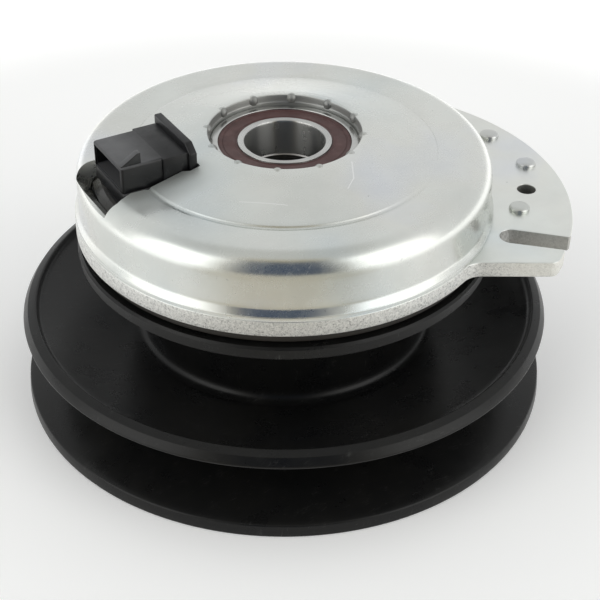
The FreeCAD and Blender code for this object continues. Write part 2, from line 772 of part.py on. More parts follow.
def armature_plate():
    top = ARMATURE_Z + ARMATURE_T
    plate = revolve([
        (33.0, ARMATURE_Z), (PLATE_R - 0.7, ARMATURE_Z), (PLATE_R, ARMATURE_Z + 0.7),
        (PLATE_R, top - 0.7), (PLATE_R - 0.7, top), (33.0, top),
    ])
    tools = []
    for index in range(SPRINGS):
        clearance = polar(SPRING_CIRCLE, index * 120) + V(0, 0, ARMATURE_Z - 1)
        rivet = polar(56.0, index * 120 + SPRING_SPAN) + V(0, 0, ARMATURE_Z - 1)
        tools.append(Part.makeCylinder(4.6, 8, clearance))
        tools.append(Part.makeCylinder(1.7, 8, rivet))
    slot = sector(46.9, 49.1, ARMATURE_Z - 1, top + 1, 0, 38.0)
    tools += around(slot, SPRINGS * 2, 14.0)
    return cut_all(plate, tools)


def armature_rivets():
    """Moving-end rivets; the head under the spring has the spring's travel as play."""
    rivets = []
    play = AIR_GAP + 0.1
    for index in range(SPRINGS):
        foot = polar(56.0, index * 120 + SPRING_SPAN)
        low = SPRING_Z - play
        shank = Part.makeCylinder(1.65, ARMATURE_Z + ARMATURE_T - 0.3 - low, foot + V(0, 0, low))
        tail = Part.makeCylinder(2.8, 1.2, foot + V(0, 0, low - 1.2))
        rivets.append(fused([shank, tail]))
    return rivets


# ---------------------------------------------------------------- build every sub-part

export("field_shell", field_shell())
export("torque_plate", torque_plate())
export("tab_rivets", tab_rivets())
export("brake_upper_pole", brake_upper_pole())
export("brake_magnets", brake_magnets())
export("brake_lower_pole", brake_lower_pole())
export("brake_pad", brake_pad())
export("inner_pole_ring", inner_pole_ring())
export("coil_bobbin", coil_bobbin())
export("coil_winding", coil_winding())
export("coil_potting", coil_potting())
export("connector_body", connector_body())
export("connector_terminals", terminal_blades(0.0))
export_bearing("field_bearing", SHAFT_R, BEARING_OD_R, HUB_TOP, BEARING_W, BALL_R, 12)
export_bearing("pulley_bearing_lower", HUB_SEAT_R, PULLEY_BEARING_OD_R, PULLEY_BEARING_Z,
               PULLEY_BEARING_W, PULLEY_BALL_R, 12)
export_bearing("pulley_bearing_upper", HUB_SEAT_R, PULLEY_BEARING_OD_R,
               PULLEY_BEARING_Z + PULLEY_BEARING_W + 2.0, PULLEY_BEARING_W, PULLEY_BALL_R, 12)
export("bearing_inner_spacer", bearing_spacer())
export("bearing_outer_spacer", outer_spacer())
export("rotor_hub", rotor_hub())
export("rotor_disc", rotor_disc())
export("hub_snap_ring", snap_ring(HUB_SEAT_R - 0.9, HUB_SEAT_R + 1.6, 11.65, 12.95, 20, 90))
export("pulley_hub", pulley_hub())
export("pulley_upper_half", pulley_upper_half())
export("pulley_lower_half", pulley_lower_half())
export("pulley_rivets", pulley_rivets())
export("pulley_snap_ring", snap_ring(PULLEY_BEARING_OD_R - 1.8, PULLEY_BEARING_OD_R + 0.9,
                                     PULLEY_BEARING_Z - 1.35, PULLEY_BEARING_Z - 0.05, 20, 30))
export("spring_carrier", spring_carrier())
export("leaf_springs", [leaf_spring(index) for index in range(SPRINGS)])
export("spring_rivets", spring_rivets())
export("armature_plate", armature_plate())
export("armature_rivets", armature_rivets())
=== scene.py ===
import json
import math

import bmesh
import bpy
from mathutils import Matrix, Vector


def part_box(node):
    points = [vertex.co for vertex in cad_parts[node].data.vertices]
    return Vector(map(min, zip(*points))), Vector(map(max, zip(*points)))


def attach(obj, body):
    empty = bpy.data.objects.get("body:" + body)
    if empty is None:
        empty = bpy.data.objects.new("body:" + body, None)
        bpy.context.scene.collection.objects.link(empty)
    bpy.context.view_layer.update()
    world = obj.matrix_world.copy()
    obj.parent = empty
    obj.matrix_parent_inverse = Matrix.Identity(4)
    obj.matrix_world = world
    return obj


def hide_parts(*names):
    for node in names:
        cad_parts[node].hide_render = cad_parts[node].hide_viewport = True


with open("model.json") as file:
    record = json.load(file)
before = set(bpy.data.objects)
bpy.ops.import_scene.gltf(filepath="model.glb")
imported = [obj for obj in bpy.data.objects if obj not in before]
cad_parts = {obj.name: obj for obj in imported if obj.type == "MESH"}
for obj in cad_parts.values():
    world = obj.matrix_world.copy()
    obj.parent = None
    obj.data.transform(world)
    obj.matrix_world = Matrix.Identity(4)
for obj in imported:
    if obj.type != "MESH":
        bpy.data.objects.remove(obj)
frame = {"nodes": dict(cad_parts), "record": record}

# The looks of the electromagnetic clutch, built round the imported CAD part. Lengths in the named
# values are millimetres, and heights are measured up from the plane the lower pulley rim stands
# on; every object is made in metres in the row frame.

MM = 0.001
TURN = 2 * math.pi
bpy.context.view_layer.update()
FLOOR_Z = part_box("pulley_lower_half")[0].z

PHOTO_SIDE = -30.0

# ---------------------------------------------------------------- mesh helpers


def height(mm):
    """Row-frame Z of a height above the standing plane."""
    return FLOOR_Z + mm * MM


def in_mm(point):
    """A CAD corner as millimetres, its Z above the standing plane."""
    return point.x / MM, point.y / MM, (point.z - FLOOR_Z) / MM


def node_span(node):
    """Outer radius, lowest and highest height of a CAD node that is round about the axis."""
    low, high = (in_mm(corner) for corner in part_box(node))
    return max(high[0], high[1]), low[2], high[2]


def filleted(corners, step=0.45):
    """Closed outline through (x, y, radius) corners, each rounded by an arc of that radius."""
    points = []
    count = len(corners)
    for index, (x, y, radius) in enumerate(corners):
        here = Vector((x, y))
        before = Vector(corners[index - 1][:2]) - here
        after = Vector(corners[(index + 1) % count][:2]) - here
        turn = before.angle(after) if before.length and after.length else math.pi
        if radius <= 0 or turn > math.pi - 1e-3:
            points.append(here)
            continue
        reach = min(radius / math.tan(turn / 2), before.length * 0.49, after.length * 0.49)
        radius = reach * math.tan(turn / 2)
        start = here + before.normalized() * reach
        centre_way = (before.normalized() + after.normalized()).normalized()
        centre = here + centre_way * math.hypot(radius, reach)
        first = start - centre
        sweep = math.pi - turn
        sign = 1 if before.x * after.y - before.y * after.x < 0 else -1
        pieces = max(4, int(sweep * radius / step))
        for part in range(pieces + 1):
            angle = sign * sweep * part / pieces
            rotated = Matrix.Rotation(angle, 2) @ first
            points.append(centre + rotated)
    return points


def spread(points, longest=1.6):
    """The same closed outline with long runs divided, so that smooth shading stays local."""
    result = []
    for index, point in enumerate(points):
        following = points[(index + 1) % len(points)]
        run = following - point
        pieces = max(1, math.ceil(run.length / longest))
        for part in range(pieces):
            result.append(point + run * part / pieces)
    return result


def finish_mesh(bm, name, sharp_degrees=35.0):
    bmesh.ops.remove_doubles(bm, verts=bm.verts, dist=1e-7)
    bmesh.ops.recalc_face_normals(bm, faces=bm.faces)
    mesh = bpy.data.meshes.new(name)
    bm.to_mesh(mesh)
    bm.free()
    obj = bpy.data.objects.new(name, mesh)
    bpy.context.collection.objects.link(obj)
    smooth(obj, sharp_degrees)
    return obj


def smooth(obj, sharp_degrees=35.0):
    """Smooth faces, with edges sharper than the given angle kept crisp."""
    bm = bmesh.new()
    bm.from_mesh(obj.data)
    limit = math.radians(sharp_degrees)
    for face in bm.faces:
        face.smooth = True
    for edge in bm.edges:
        edge.smooth = len(edge.link_faces) == 2 and edge.calc_face_angle(0.0) < limit
    bm.to_mesh(obj.data)
    bm.free()


def lathe(name, corners, segments=288, longest=1.6):
    """Body of revolution from (radius, height, fillet) corners in millimetres."""
    outline = spread(filleted(corners), longest)
    bm = bmesh.new()
    rings = []
    for index in range(segments):
        angle = TURN * index / segments
        c, s = math.cos(angle), math.sin(angle)
        rings.append([bm.verts.new((p.x * MM * c, p.x * MM * s, height(p.y))) for p in outline])
    for index in range(segments):
        here, there = rings[index], rings[(index + 1) % segments]
        for part in range(len(outline)):
            after = (part + 1) % len(outline)
            bm.faces.new((here[part], there[part], there[after], here[after]))
    return finish_mesh(bm, name)


def dome(bm, x, y, base, radius, rise, segments=40, rings=14):
    """Flattened button head standing on a plane, with an upright rim."""
    crown = bm.verts.new((x * MM, y * MM, height(base + rise)))
    loops = []
    for ring in range(1, rings + 1):
        t = ring / rings
        r = radius * math.sin(t * math.pi / 2)
        z = base + rise * math.cos(t * math.pi / 2) ** 0.45
        loops.append([bm.verts.new(((x + r * math.cos(TURN * k / segments)) * MM,
                                    (y + r * math.sin(TURN * k / segments)) * MM, height(z)))
                      for k in range(segments)])
    for k in range(segments):
        after = (k + 1) % segments
        bm.faces.new((crown, loops[0][k], loops[0][after]))
        for ring in range(rings - 1):
            bm.faces.new((loops[ring][k], loops[ring + 1][k], loops[ring + 1][after], loops[ring][after]))
    bm.faces.new(list(reversed(loops[-1])))


def prism(name, outline, low, high, axis="Z"):
    """Straight solid on an outline; axis Z extrudes (x, y), axis Y extrudes (x, z)."""
    bm = bmesh.new()
    ends = []
    for level in (low, high):
        if axis == "Z":
            ends.append([bm.verts.new((x * MM, y * MM, height(level))) for x, y in outline])
        else:
            ends.append([bm.verts.new((x * MM, level * MM, height(z))) for x, z in outline])
    bm.faces.new(ends[0])
    bm.faces.new(list(reversed(ends[1])))
    for index in range(len(outline)):
        after = (index + 1) % len(outline)
        bm.faces.new((ends[0][index], ends[1][index], ends[1][after], ends[0][after]))
    return finish_mesh(bm, name)


def block(name, x0, x1, y0, y1, z0, z1):
    return prism(name, [(x0, y0), (x1, y0), (x1, y1), (x0, y1)], z0, z1)


def apply_modifiers(obj):
    graph = bpy.context.evaluated_depsgraph_get()
    mesh = bpy.data.meshes.new_from_object(obj.evaluated_get(graph))
    obj.modifiers.clear()
    obj.data = mesh


def boolean(obj, tool, operation):
    """Cut, join or intersect with another object, which is used up."""
    modifier = obj.modifiers.new("boolean", "BOOLEAN")
    modifier.operation = operation
    modifier.solver = "EXACT"
    modifier.object = tool
    apply_modifiers(obj)
    bpy.data.objects.remove(tool)


def bevel(obj, width, segments=3, degrees=35.0):
    modifier = obj.modifiers.new("bevel", "BEVEL")
    modifier.width = width * MM
    modifier.segments = segments
    modifier.limit_method = "ANGLE"
    modifier.angle_limit = math.radians(degrees)
    modifier.use_clamp_overlap = True
    apply_modifiers(obj)
    smooth(obj, 40.0)


def spheres(name, places, radius, segments=28):
    """One object of equal balls."""
    bm = bmesh.new()
    for x, y, z in places:
        where = Matrix.Translation((x * MM, y * MM, height(z)))
        bmesh.ops.create_uvsphere(bm, u_segments=segments, v_segments=segments // 2,
                                  radius=radius * MM, matrix=where)
    return finish_mesh(bm, name)


def plate_from_loops(name, loops, low, high, edge):
    """Flat plate with holes and rounded edges, from closed 2D loops in millimetres."""
    curve = bpy.data.curves.new(name, "CURVE")
    curve.dimensions = "2D"
    curve.fill_mode = "BOTH"
    for loop in loops:
        spline = curve.splines.new("POLY")
        spline.points.add(len(loop) - 1)
        for point, (x, y) in zip(spline.points, loop):
            point.co = (x * MM, y * MM, 0, 1)
        spline.use_cyclic_u = True
    half = (high - low) / 2
    curve.extrude = (half - edge) * MM
    curve.bevel_depth = edge * MM
    curve.bevel_resolution = 2
    curve.offset = -edge * MM
    source = bpy.data.objects.new(name + "_outline", curve)
    bpy.context.collection.objects.link(source)
    graph = bpy.context.evaluated_depsgraph_get()
    mesh = bpy.data.meshes.new_from_object(source.evaluated_get(graph))
    bpy.data.objects.remove(source)
    mesh.transform(Matrix.Translation((0, 0, height(low + half))))
    bm = bmesh.new()
    bm.from_mesh(mesh)
    return finish_mesh(bm, name)


# ---------------------------------------------------------------- material helpers


class Shader:
    """Small builder round one material's nodes."""

    def __init__(self, name):
        self.material = bpy.data.materials.new(name)
        self.material.use_nodes = True
        self.nodes = self.material.node_tree.nodes
        self.links = self.material.node_tree.links
        self.surface = self.nodes["Principled BSDF"]
        self.where = self.nodes.new("ShaderNodeTexCoord").outputs["Object"]

    def set(self, **values):
        for key, value in values.items():
            self.surface.inputs[key.replace("_", " ")].default_value = value

    def link(self, source, target):
        self.links.new(source, self.surface.inputs[target])

    def mapped(self, scale, turn):
        """Object coordinates turned and scaled, for stretched patterns."""
        node = self.nodes.new("ShaderNodeMapping")
        node.inputs["Rotation"].default_value = turn
        node.inputs["Scale"].default_value = scale
        self.links.new(self.where, node.inputs["Vector"])
        return node.outputs["Vector"]

    def noise(self, scale, detail=4.0, rough=0.55, vector=None, distortion=0.0):
        node = self.nodes.new("ShaderNodeTexNoise")
        node.inputs["Scale"].default_value = scale
        node.inputs["Detail"].default_value = detail
        node.inputs["Roughness"].default_value = rough
        node.inputs["Distortion"].default_value = distortion
        self.links.new(vector or self.where, node.inputs["Vector"])
        return node.outputs["Fac"]

    def remap(self, value, low, high, out_low=0.0, out_high=1.0, smoothed=False):
        node = self.nodes.new("ShaderNodeMapRange")
        if smoothed:
            node.interpolation_type = "SMOOTHSTEP"
        for socket, number in (("From Min", low), ("From Max", high),
                               ("To Min", out_low), ("To Max", out_high)):
            node.inputs[socket].default_value = number
        self.links.new(value, node.inputs["Value"])
        return node.outputs["Result"]

    def math(self, operation, first, second=None):
        node = self.nodes.new("ShaderNodeMath")
        node.operation = operation
        for socket, value in zip(node.inputs, (first, second)):
            if value is None:
                continue
            if isinstance(value, (int, float)):
                socket.default_value = value
            else:
                self.links.new(value, socket)
        return node.outputs["Value"]

    def ramp(self, value, stops):
        node = self.nodes.new("ShaderNodeValToRGB")
        elements = node.color_ramp.elements
        while len(elements) < len(stops):
            elements.new(0.5)
        for element, (place, colour) in zip(elements, stops):
            element.position = place
            element.color = (*colour, 1.0)
        self.links.new(value, node.inputs["Fac"])
        return node.outputs["Color"]

    def mix(self, factor, first, second, blend="MIX"):
        node = self.nodes.new("ShaderNodeMix")
        node.data_type = "RGBA"
        node.blend_type = blend
        sockets = {"Factor": node.inputs[0], "A": node.inputs[6], "B": node.inputs[7]}
        for key, value in (("Factor", factor), ("A", first), ("B", second)):
            if isinstance(value, (int, float)):
                sockets[key].default_value = value
            elif isinstance(value, tuple):
                sockets[key].default_value = (*value, 1.0)
            else:
                self.links.new(value, sockets[key])
        return node.outputs[2]

    def bump(self, value, strength, distance, under=None):
        node = self.nodes.new("ShaderNodeBump")
        node.inputs["Strength"].default_value = strength
        node.inputs["Distance"].default_value = distance * MM
        self.links.new(value, node.inputs["Height"])
        if under is not None:
            self.links.new(under, node.inputs["Normal"])
        return node.outputs["Normal"]

    def polar(self):
        """Radius in metres and azimuth in turns about the clutch axis."""
        split = self.nodes.new("ShaderNodeSeparateXYZ")
        self.links.new(self.where, split.inputs[0])
        x, y, z = split.outputs
        radius = self.math("SQRT", self.math("ADD", self.math("MULTIPLY", x, x),
                                             self.math("MULTIPLY", y, y)))
        azimuth = self.math("DIVIDE", self.math("ARCTAN2", y, x), TURN)
        return radius, azimuth, z

    def rings(self, scale, along_z=0.0):
        """Noise that runs in circles round the axis, as turning marks do."""
        radius, azimuth, z = self.polar()
        join = self.nodes.new("ShaderNodeCombineXYZ")
        self.links.new(self.math("MULTIPLY", radius, scale), join.inputs["X"])
        self.links.new(self.math("MULTIPLY", azimuth, 6.0), join.inputs["Y"])
        self.links.new(self.math("MULTIPLY", z, along_z), join.inputs["Z"])
        return self.noise(1.0, 3.0, 0.6, join.outputs["Vector"])

    def scratches(self, scale, turn, width, stretch=14.0):
        """Sparse thin lines running roughly one way."""
        vector = self.mapped((scale, scale * stretch, scale), (0.0, 0.0, turn))
        fine = self.noise(1.0, 2.0, 0.5, vector, 0.6)
        line = self.remap(self.math("ABSOLUTE", self.math("SUBTRACT", fine, 0.5)), 0.0, width, 1.0, 0.0)
        patch = self.remap(self.noise(scale * 2.3, 2.0), 0.56, 0.66)
        return self.math("MULTIPLY", line, patch)

    def stroke(self, start, end, width):
        """One straight mark between two points given in millimetres, seen from above."""
        split = self.nodes.new("ShaderNodeSeparateXYZ")
        self.links.new(self.where, split.inputs[0])
        ax, ay = start[0] * MM, start[1] * MM
        dx, dy = (end[0] - start[0]) * MM, (end[1] - start[1]) * MM
        length = dx * dx + dy * dy
        px = self.math("SUBTRACT", split.outputs["X"], ax)
        py = self.math("SUBTRACT", split.outputs["Y"], ay)
        along = self.math("DIVIDE", self.math("ADD", self.math("MULTIPLY", px, dx),
                                              self.math("MULTIPLY", py, dy)), length)
        along = self.math("MINIMUM", self.math("MAXIMUM", along, 0.0), 1.0)
        qx = self.math("SUBTRACT", px, self.math("MULTIPLY", along, dx))
        qy = self.math("SUBTRACT", py, self.math("MULTIPLY", along, dy))
        gap = self.math("SQRT", self.math("ADD", self.math("MULTIPLY", qx, qx),
                                          self.math("MULTIPLY", qy, qy)))
        return self.remap(gap, width * 0.3 * MM, width * MM, 1.0, 0.0, True)


# ---------------------------------------------------------------- materials

RUBBED = ((-57.0, -6.0), (-36.0, -6.5), 11.0)     # the duller patch beside the connector
SEAT_EDGE = (0.0240, 0.0244)                      # radii in metres where the bearing seat begins


def zinc(name="zinc_plate", marks=(), tone=1.0, roughness=(0.20, 0.32)):
    """Bright zinc plate: satin, faintly clouded, with a trace of blue and yellow.

    Inside the edge of the bearing seat it is rougher, with painted shade darkening the recessed wall.
    """
    s = Shader(name)
    cloud = s.noise(28.0, 5.0, 0.6)
    tint = s.ramp(s.noise(17.0, 3.0, 0.5), [
        (0.30, (0.66, 0.71, 0.72)), (0.45, (0.72, 0.74, 0.71)),
        (0.58, (0.73, 0.735, 0.70)), (0.72, (0.68, 0.70, 0.735))])
    shade = s.remap(cloud, 0.3, 0.7, 0.90 * tone, 1.06 * tone)
    grain = s.noise(2600.0, 2.0, 0.6)
    grey = s.nodes.new("ShaderNodeCombineXYZ")
    for socket in grey.inputs:
        s.links.new(shade, socket)
    colour = s.mix(1.0, tint, grey.outputs["Vector"], "MULTIPLY")
    specks = s.remap(s.noise(620.0, 2.0, 0.5), 0.73, 0.78)
    sparse = s.remap(s.noise(60.0, 1.0, 0.5), 0.56, 0.62)
    dark = s.math("MULTIPLY", specks, sparse)
    colour = s.mix(s.math("MULTIPLY", dark, 0.55), colour, (0.22, 0.22, 0.22))
    scuff = s.math("MAXIMUM", s.scratches(150.0, 0.5, 0.012), s.scratches(110.0, 2.1, 0.010))
    colour = s.mix(s.math("MULTIPLY", scuff, 0.30), colour, (0.86, 0.87, 0.87))
    rough = s.remap(s.noise(55.0, 6.0, 0.7), 0.3, 0.7, *roughness)
    rough = s.math("ADD", rough, s.math("MULTIPLY", scuff, 0.12))
    seat = s.remap(s.polar()[0], *SEAT_EDGE, 1.0, 0.0)
    rough = s.math("ADD", rough, s.math("MULTIPLY", seat, 0.22))
    # painted shade: inside the seat edge the colour is darkened towards (0.30, 0.30, 0.29)
    colour = s.mix(s.math("MULTIPLY", seat, 0.8), colour, (0.30, 0.30, 0.29))
    rubbed = s.stroke(*RUBBED)
    rough = s.math("ADD", rough, s.math("MULTIPLY", rubbed, 0.28))
    height_map = s.math("ADD", s.math("MULTIPLY", grain, 0.35), s.math("MULTIPLY", s.rings(900.0), 0.5))
    for start, end, width in marks:
        mark = s.stroke(start, end, width)
        colour = s.mix(s.math("MULTIPLY", mark, 0.6), colour, (0.93, 0.93, 0.92))
        height_map = s.math("SUBTRACT", height_map, s.math("MULTIPLY", mark, 1.5))
    s.link(colour, "Base Color")
    s.link(rough, "Roughness")
    peel = s.bump(s.noise(330.0, 2.0, 0.5), 0.10, 0.12)
    s.link(s.bump(height_map, 0.10, 0.05, peel), "Normal")
    s.set(Metallic=1.0)
    return s.material


def sheared_zinc(name="sheared_zinc", tone=1.0):
    """Sheared edge of the plate under its plating: torn, matt and speckled."""
    s = Shader(name)
    tear = s.noise(1150.0, 4.0, 0.7)
    grit = s.noise(2700.0, 3.0, 0.7)
    both = s.math("ADD", s.math("MULTIPLY", tear, 0.5), s.math("MULTIPLY", grit, 0.5))
    stops = ((0.37, (0.26, 0.26, 0.26)), (0.45, (0.62, 0.62, 0.60)), (0.60, (0.84, 0.84, 0.81)))
    colour = s.ramp(both, [(place, tuple(tone * c for c in colour)) for place, colour in stops])
    burnished = s.remap(s.polar()[0], 0.070, 0.080)
    s.link(s.mix(s.math("MULTIPLY", burnished, 0.6), colour, (tone * 0.82, tone * 0.81, tone * 0.75)),
           "Base Color")
    s.link(s.remap(both, 0.3, 0.7, 0.62, 0.40), "Roughness")
    s.link(s.bump(both, 0.6, 0.35), "Normal")
    s.set(Metallic=0.75)
    return s.material


def black_coat():
    """Semi-gloss black coating over steel, with fine scuffs and rubbed spots."""
    s = Shader("black_coat")
    blotch = s.noise(45.0, 5.0, 0.6)
    colour = s.ramp(blotch, [(0.3, (0.0062, 0.0064, 0.0068)), (0.7, (0.0105, 0.0102, 0.0095))])
    scuff = s.math("MAXIMUM", s.scratches(130.0, 0.9, 0.010), s.scratches(90.0, 2.6, 0.012))
    dust = s.remap(s.noise(800.0, 3.0, 0.7), 0.66, 0.80)
    dust = s.math("MULTIPLY", dust, s.remap(s.noise(38.0, 2.0), 0.48, 0.66))
    colour = s.mix(s.math("MULTIPLY", scuff, 0.15), colour, (0.24, 0.24, 0.23))
    colour = s.mix(s.math("MULTIPLY", dust, 0.10), colour, (0.16, 0.16, 0.155))
    s.link(colour, "Base Color")
    rough = s.remap(s.noise(90.0, 5.0, 0.65), 0.3, 0.7, 0.24, 0.36)
    s.link(s.math("ADD", rough, s.math("MULTIPLY", dust, 0.2)), "Roughness")
    peel = s.bump(s.noise(420.0, 2.0, 0.5), 0.12, 0.10)
    s.link(s.bump(s.noise(2200.0, 2.0), 0.05, 0.04, peel), "Normal")
    s.set(Specular_IOR_Level=0.26)
    return s.material


def turned_steel(name, colour, low, high, ring_scale=2600.0, along_z=0.0, metallic=1.0, brushed=0.0):
    """Machined or ground steel with its circular tool marks.

    Brushed marks run round the axis, so highlights are drawn out across them.
    """
    s = Shader(name)
    marks = s.rings(ring_scale, along_z)
    stain = s.noise(70.0, 5.0, 0.6)
    dim = tuple(0.82 * c for c in colour)
    s.link(s.mix(s.remap(stain, 0.35, 0.7), colour, dim), "Base Color")
    s.link(s.remap(s.math("ADD", s.math("MULTIPLY", marks, 0.6), s.math("MULTIPLY", stain, 0.4)),
                   0.3, 0.7, low, high), "Roughness")
    s.link(s.bump(marks, 0.03 if brushed else 0.12, 0.03), "Normal")
    s.set(Metallic=metallic)
    if brushed:
        tangent = s.nodes.new("ShaderNodeTangent")
        tangent.direction_type = "RADIAL"
        tangent.axis = "Z"
        s.link(tangent.outputs["Tangent"], "Tangent")
        s.set(Anisotropic=brushed, Anisotropic_Rotation=0.25)
    return s.material


def seal_rubber():
    """Brown rubber facing of the bearing shields."""
    s = Shader("seal_rubber")
    mottle = s.noise(260.0, 4.0, 0.65)
    s.link(s.ramp(mottle, [(0.3, (0.060, 0.023, 0.022)), (0.55, (0.082, 0.034, 0.032)),
                           (0.75, (0.115, 0.056, 0.052))]), "Base Color")
    s.link(s.remap(s.noise(150.0, 3.0), 0.3, 0.7, 0.36, 0.56), "Roughness")
    s.link(s.bump(s.math("ADD", s.noise(1800.0, 3.0), s.math("MULTIPLY", s.rings(1500.0), 0.6)),
                  0.25, 0.05), "Normal")
    s.set(Specular_IOR_Level=0.4)
    return s.material


def moulded_plastic(name, dark, light, grain=1700.0, painted_sheen=None):
    """Injection-moulded plastic with a fine spark-eroded grain.

    Its last argument sets a painted reflection that lightens the upward faces: where it starts and ends
    along X, and its pale colour.
    """
    s = Shader(name)
    mottle = s.noise(120.0, 4.0, 0.6)
    scuff = s.scratches(260.0, 0.7, 0.012)
    colour = s.ramp(mottle, [(0.3, dark), (0.7, light)])
    if painted_sheen:
        start, end, pale = painted_sheen
        split = s.nodes.new("ShaderNodeSeparateXYZ")
        s.links.new(s.where, split.inputs[0])
        facing = s.nodes.new("ShaderNodeSeparateXYZ")
        s.links.new(s.nodes.new("ShaderNodeNewGeometry").outputs["Normal"], facing.inputs[0])
        upward = s.remap(facing.outputs["Z"], 0.3, 0.9)
        along = s.remap(split.outputs["X"], start * MM, end * MM, 1.0, 0.0, True)
        # painted reflection: upward faces towards the front end are lightened to the pale colour
        colour = s.mix(s.math("MULTIPLY", upward, along), colour, pale)
    s.link(s.mix(s.math("MULTIPLY", scuff, 0.25), colour, (0.16, 0.16, 0.16)), "Base Color")
    s.link(s.remap(s.noise(300.0, 4.0), 0.3, 0.7, 0.34, 0.50), "Roughness")
    s.link(s.bump(s.noise(grain, 3.0, 0.7), 0.28, 0.05), "Normal")
    s.set(Specular_IOR_Level=0.45)
    return s.material


def resin():
    """Cast potting with a slightly wavy meniscus."""
    s = Shader("potting_resin")
    s.link(s.ramp(s.noise(90.0, 4.0), [(0.3, (0.012, 0.012, 0.011)), (0.7, (0.03, 0.028, 0.025))]),
           "Base Color")
    s.link(s.remap(s.noise(160.0, 3.0), 0.3, 0.7, 0.18, 0.42), "Roughness")
    s.link(s.bump(s.noise(110.0, 3.0), 0.35, 0.4), "Normal")
    return s.material


def copper_wire():
    """Enamelled magnet wire, wound in close turns."""
    s = Shader("copper_wire")
    wave = s.nodes.new("ShaderNodeTexWave")
    wave.bands_direction = "Z"
    wave.inputs["Scale"].default_value = 620.0
    s.links.new(s.where, wave.inputs["Vector"])
    s.link(s.ramp(s.noise(200.0, 3.0), [(0.3, (0.42, 0.13, 0.05)), (0.7, (0.62, 0.24, 0.10))]),
           "Base Color")
    s.link(s.remap(wave.outputs["Fac"], 0.0, 1.0, 0.32, 0.22), "Roughness")
    s.link(s.bump(wave.outputs["Fac"], 0.6, 0.25), "Normal")
    s.set(Metallic=0.9)
    return s.material


def ferrite():
    s = Shader("magnet_ferrite")
    grain = s.noise(1300.0, 5.0, 0.75)
    s.link(s.ramp(grain, [(0.3, (0.030, 0.030, 0.032)), (0.7, (0.075, 0.072, 0.070))]), "Base Color")
    s.link(s.remap(grain, 0.3, 0.7, 0.55, 0.78), "Roughness")
    s.link(s.bump(grain, 0.35, 0.12), "Normal")
    s.set(Metallic=0.35)
    return s.material


def friction():
    """Pressed friction material with light and dark fibres."""
    s = Shader("friction_pad")
    fibre = s.noise(1.0, 4.0, 0.7, s.mapped((900.0, 5200.0, 2600.0), (0.0, 0.0, 0.6)))
    s.link(s.ramp(fibre, [(0.35, (0.035, 0.028, 0.022)), (0.55, (0.11, 0.085, 0.06)),
                          (0.70, (0.30, 0.25, 0.17))]), "Base Color")
    s.link(s.remap(fibre, 0.3, 0.7, 0.72, 0.9), "Roughness")
    s.link(s.bump(fibre, 0.5, 0.15), "Normal")
    return s.material


# Long scratches on the shell's top: both ends and the half width.
MARKS = (((8.0, -26.5), (4.6, -33.0), 0.32), ((4.6, -33.0), (0.6, -36.2), 0.25),
         ((-30.0, -26.0), (-19.0, -34.5), 0.22), ((-24.0, 41.0), (-8.0, 46.0), 0.2))

MATERIALS = {
    "zinc_plate": zinc(marks=MARKS),
    "black_coat": black_coat(),
    "bearing_steel": turned_steel("bearing_steel", (0.60, 0.60, 0.585), 0.16, 0.30),
    "ball_steel": turned_steel("ball_steel", (0.74, 0.74, 0.74), 0.06, 0.12, 400.0),
    "seal_rubber": seal_rubber(),
    "cage_steel": turned_steel("cage_steel", (0.52, 0.47, 0.38), 0.28, 0.42, 900.0),
    # the connector's upward faces carry a painted reflection, paler towards its front
    "connector_plastic": moulded_plastic("connector_plastic", (0.002, 0.002, 0.003),
                                         (0.005, 0.005, 0.006),
                                         painted_sheen=(-52.0, -40.0, (0.095, 0.096, 0.100))),
    "terminal_brass": turned_steel("terminal_brass", (0.78, 0.62, 0.30), 0.22, 0.36, 700.0),
    "copper_wire": copper_wire(),
    "bobbin_plastic": moulded_plastic("bobbin_plastic", (0.014, 0.014, 0.015),
                                      (0.024, 0.024, 0.026), 1200.0),
    "potting_resin": resin(),
    "raw_steel": turned_steel("raw_steel", (0.42, 0.41, 0.40), 0.26, 0.42, 2200.0, 1800.0),
    "rotor_steel": turned_steel("rotor_steel", (0.030, 0.027, 0.024), 0.36, 0.5, 2000.0, 0.0, 0.5),
    "spring_steel": turned_steel("spring_steel", (0.24, 0.27, 0.36), 0.24, 0.38, 800.0),
    "magnet_ferrite": ferrite(),
    "friction_pad": friction(),
}
SLOTS = {row["node"]: row["material_slot"] for row in frame["record"]["subparts"]}

for node, obj in frame["nodes"].items():
    obj.data.materials.clear()
    obj.data.materials.append(MATERIALS[SLOTS[node]])


def stand_for(obj, node, body, material=None):
    """The made piece takes the place of a CAD node, on the same body and slot."""
    if not obj.data.materials:
        obj.data.materials.append(material or MATERIALS[SLOTS[node]])
    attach(obj, body)
    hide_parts(node)


# ---------------------------------------------------------------- sizes shared by the pieces

PULLEY_R, _, PULLEY_RIM_HIGH = node_span("pulley_lower_half")
SHELL_HIGH = node_span("field_shell")[2]
SHELL_R = 65.4
SHELL_INSIDE_R = 61.1
SHOULDER_TOP = 84.5
STEP_R = 48.3
COLLAR_R = 29.4
COLLAR_LOW = 84.6
PLATE_LOW = in_mm(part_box("torque_plate")[0])[2]
PLATE_HIGH = in_mm(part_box("torque_plate")[1])[2]
PLATE_R = 66.85
BEARING_R, BEARING_LOW, BEARING_HIGH = node_span("field_bearing_outer_ring")
SHAFT_R = 12.7
CONNECTOR_Y = 8.4

# ---------------------------------------------------------------- field shell


STAKES = 12
STAKE_CIRCLE_R = 24.55
STAKE_DEPTH = 1.4
STAKE_R = 1.75
STAKE_PHASE = -5.0


def stakes():
    """Beads of metal that hold the bearing, half sunk in the edge of its seat."""
    places = []
    for index in range(STAKES):
        angle = math.radians(STAKE_PHASE + 360.0 / STAKES * index)
        places.append((STAKE_CIRCLE_R * math.cos(angle), STAKE_CIRCLE_R * math.sin(angle),
                       SHELL_HIGH - STAKE_DEPTH))
    beads = spheres("stakes", places, STAKE_R)
    beads.data.materials.append(zinc("stake_zinc", tone=0.78, roughness=(0.30, 0.42)))
    return beads


